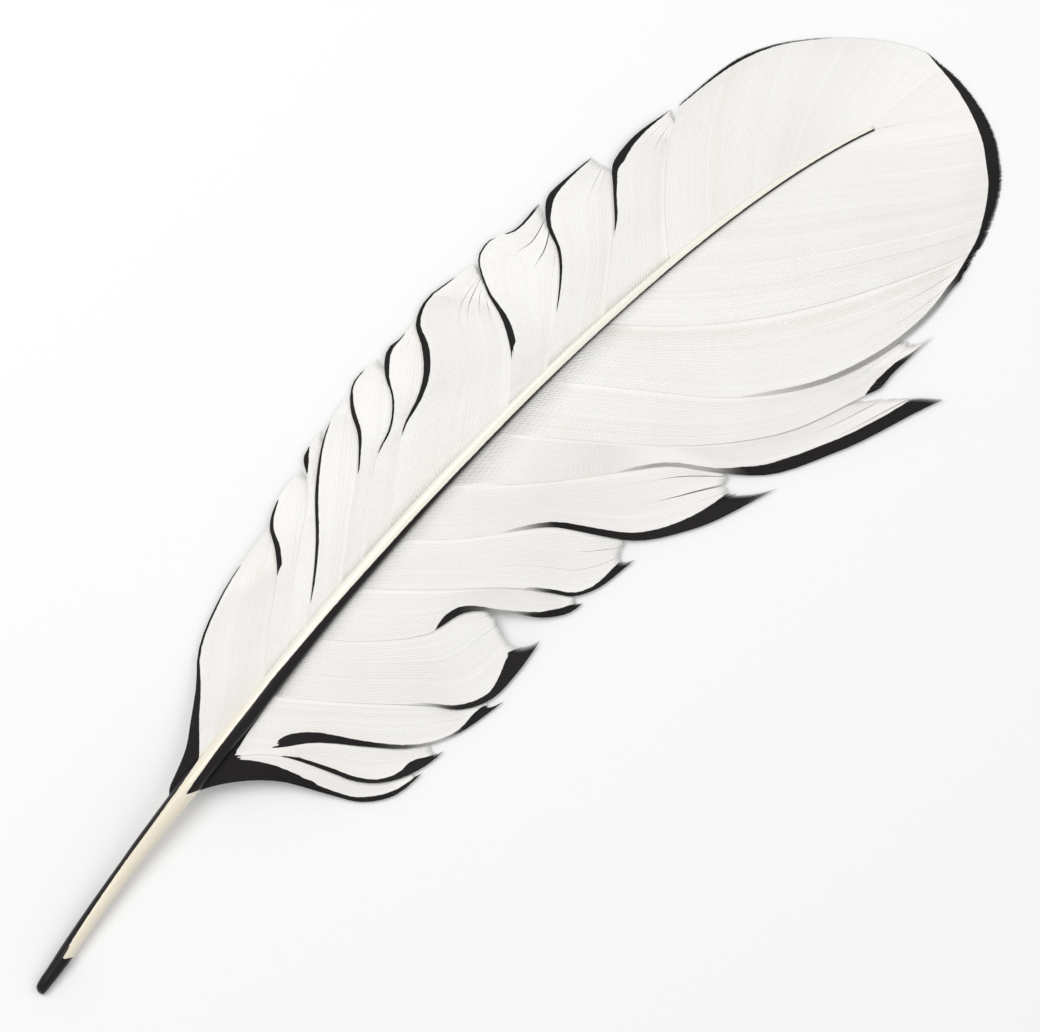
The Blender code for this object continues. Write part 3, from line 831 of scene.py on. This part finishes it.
def inkAndShadeGroup():
    # one mask for the markings and the painted shade alike
    group, given, out = newGroup(
        "inkAndShadeMarking",
        (("Base", "NodeSocketColor"), ("PigmentAndShade", "NodeSocketColor")),
        (("Color", "NodeSocketColor"), ("Mask", "NodeSocketFloat")),
    )
    where = group.nodes.new("ShaderNodeTexCoord")
    noise = noiseNode(group, where.outputs["Object"], pigmentAndShade["raggedScale"], pigmentAndShade["raggedDetail"])
    ragged = mathNode(group, "MULTIPLY", mathNode(group, "SUBTRACT", noise, 0.5), pigmentAndShade["ragged"] * 2)
    inside = mathNode(group, "ADD", attributeNode(group, "ink"), ragged)
    edge = rampNode(group, inside, -pigmentAndShade["soft"], pigmentAndShade["soft"])
    mask = mathNode(group, "MULTIPLY", edge, attributeNode(group, "depth"))
    colour = mixColour(group, mask, given.outputs["Base"], given.outputs["PigmentAndShade"])
    group.links.new(colour, out.inputs["Color"])
    group.links.new(mask, out.inputs["Mask"])
    return group


inkAndShadeMarking = inkAndShadeGroup()


def placeInkAndShade(tree, shader, base):
    # colours the shader with the markings and the painted shade, and returns their mask
    node = tree.nodes.new("ShaderNodeGroup")
    node.node_tree = inkAndShadeMarking
    tree.links.new(base, node.inputs["Base"])
    node.inputs["PigmentAndShade"].default_value = pigmentAndShade["colour"]
    tree.links.new(node.outputs["Color"], shader.inputs["Base Color"])
    return node.outputs["Mask"]


def addBump(tree, shader, height, strength, distance):
    bump = tree.nodes.new("ShaderNodeBump")
    bump.inputs["Strength"].default_value = strength
    bump.inputs["Distance"].default_value = distance
    tree.links.new(height, bump.inputs["Height"])
    tree.links.new(bump.outputs["Normal"], shader.inputs["Normal"])


def newMaterial(name):
    material = bpy.data.materials.new(name)
    material.use_nodes = True
    return material, material.node_tree, material.node_tree.nodes["Principled BSDF"]


def barbuleRipple(tree):
    # fine ribs that slant away from the barb's ridge on both sides
    uv = tree.nodes.new("ShaderNodeUVMap")
    uv.uv_map = "along"
    part = tree.nodes.new("ShaderNodeSeparateXYZ")
    tree.links.new(uv.outputs["UV"], part.inputs["Vector"])
    sideways = mathNode(tree, "ABSOLUTE", mathNode(tree, "SUBTRACT", part.outputs["X"], 0.5))
    slant = mathNode(tree, "MULTIPLY", sideways, keratin["barbuleSlant"])
    along = mathNode(tree, "MULTIPLY", part.outputs["Y"], keratin["barbules"])
    return mathNode(tree, "SINE", mathNode(tree, "SUBTRACT", along, slant))


def vaneMaterial():
    material, tree, shader = newMaterial("vaneKeratin")
    where = tree.nodes.new("ShaderNodeTexCoord")
    cloud = noiseNode(tree, where.outputs["Object"], keratin["cloudScale"], keratin["cloudDetail"])
    barbTint = mathNode(tree, "MULTIPLY", attributeNode(tree, "tone"), keratin["barbTint"])
    warm = mathNode(tree, "ADD", barbTint, mathNode(tree, "MULTIPLY", cloud, keratin["cloudTint"]))
    # dark markings on the locks and rim, and painted shade beside the shaft at the wide vane's start
    mask = placeInkAndShade(tree, shader, mixColour(tree, warm, keratin["white"], keratin["cream"]))
    gloss = mathNode(tree, "MULTIPLY", mask, keratin["pigmentAndShadeGloss"])
    rough = mathNode(tree, "SUBTRACT", keratin["roughness"], gloss)
    tree.links.new(rough, shader.inputs["Roughness"])
    shader.inputs["Specular IOR Level"].default_value = keratin["specular"]
    addBump(tree, shader, barbuleRipple(tree), *keratin["bump"])
    return material


def hornMaterial():
    material, tree, shader = newMaterial("quillHorn")
    where = tree.nodes.new("ShaderNodeTexCoord")
    stretch = tree.nodes.new("ShaderNodeMapping")
    stretch.inputs["Scale"].default_value = horn["grain"]
    tree.links.new(where.outputs["Object"], stretch.inputs["Vector"])
    grain = noiseNode(tree, stretch.outputs["Vector"], 1, horn["grainDetail"])
    whiter = rampNode(tree, attributeNode(tree, "tone"), horn["whiteFrom"], horn["whiteTo"])
    base = mixColour(tree, whiter, horn["ivory"], horn["white"])
    streaks = mathNode(tree, "MULTIPLY", grain, horn["streakTint"])
    # painted shade on the shaft's wide-vane flank, with the dark line down the quill's left side and the
    # dark end
    mask = placeInkAndShade(tree, shader, mixColour(tree, streaks, base, horn["streak"]))
    coat = mathNode(tree, "MULTIPLY", mathNode(tree, "SUBTRACT", 1, mask), horn["coat"])
    tree.links.new(coat, shader.inputs["Coat Weight"])
    shader.inputs["Roughness"].default_value = horn["roughness"]
    shader.inputs["Specular IOR Level"].default_value = horn["specular"]
    shader.inputs["Subsurface Weight"].default_value = horn["subsurface"]
    shader.inputs["Subsurface Radius"].default_value = horn["subsurfaceRadius"]
    addBump(tree, shader, grain, *horn["bump"])
    return material


vaneKeratin, quillHorn = vaneMaterial(), hornMaterial()
quillShaft = buildShaft()
narrowVane = buildVane("narrowVane", 1, narrowLocks, narrowEnd)
wideVane = buildVane("wideVane", -1, wideLocks, wideEnd)
for piece, material in ((quillShaft, quillHorn), (narrowVane, vaneKeratin), (wideVane, vaneKeratin)):
    piece.data.materials.append(material)
    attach(piece, "root")
    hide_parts("feather")
bpy.data.meshes.remove(template)

studio = {
    "turn": -44,
    "middle": (6.84, -1.38),
    "across": 239.2,
    "distance": 5,
    "sharpAt": 0.003,  # the height at which the drawing's scale holds
    "sensor": 36,
    "clipEnd": 20,
    "floor": (0.88, 0.88, 0.88, 1),
    "floorRoughness": 0.9,
    "floorSize": 3,
    "sky": (1, 1, 1, 1),
    "skyStrength": 0.6,
    "lamps": (("key", (-0.1, 0.62, 1.1), 0.8, 8), ("fill", (0.7, -0.6, 1.1), 1.2, 3)),  # place, size, power
}


def buildFloor():
    floor = bmesh.new()
    bmesh.ops.create_grid(floor, x_segments=1, y_segments=1, size=studio["floorSize"])
    mesh = bpy.data.meshes.new("floor")
    floor.to_mesh(mesh)
    floor.free()
    paper, tree, shader = newMaterial("paleFloor")
    shader.inputs["Base Color"].default_value = studio["floor"]
    shader.inputs["Roughness"].default_value = studio["floorRoughness"]
    mesh.materials.append(paper)
    addPiece("floor", mesh)


def buildCamera():
    camera = addPiece("camera", bpy.data.cameras.new("camera"))
    camera.data.sensor_width = studio["sensor"]
    reach = studio["distance"] - studio["sharpAt"]
    camera.data.lens = studio["sensor"] * reach / (studio["across"] * millimetre)
    camera.data.clip_end = studio["clipEnd"]
    x, y = studio["middle"]
    camera.location = (x * millimetre, y * millimetre, studio["distance"])
    camera.rotation_euler = (0, 0, radians(studio["turn"]))
    bpy.context.scene.camera = camera


def buildLight():
    for name, place, size, power in studio["lamps"]:
        light = bpy.data.lights.new(name, "AREA")
        light.shape = "DISK"
        light.size = size
        light.energy = power
        lamp = addPiece(name, light)
        lamp.location = place
        lamp.rotation_euler = (-Vector(place)).to_track_quat("-Z", "Y").to_euler()
    world = bpy.data.worlds.new("studio")
    world.use_nodes = True
    world.node_tree.nodes["Background"].inputs["Color"].default_value = studio["sky"]
    world.node_tree.nodes["Background"].inputs["Strength"].default_value = studio["skyStrength"]
    bpy.context.scene.world = world
    bpy.context.scene.view_settings.view_transform = "Standard"


buildFloor()
buildCamera()
buildLight()
print("studio: floor, camera and", len(studio["lamps"]), "lamps")
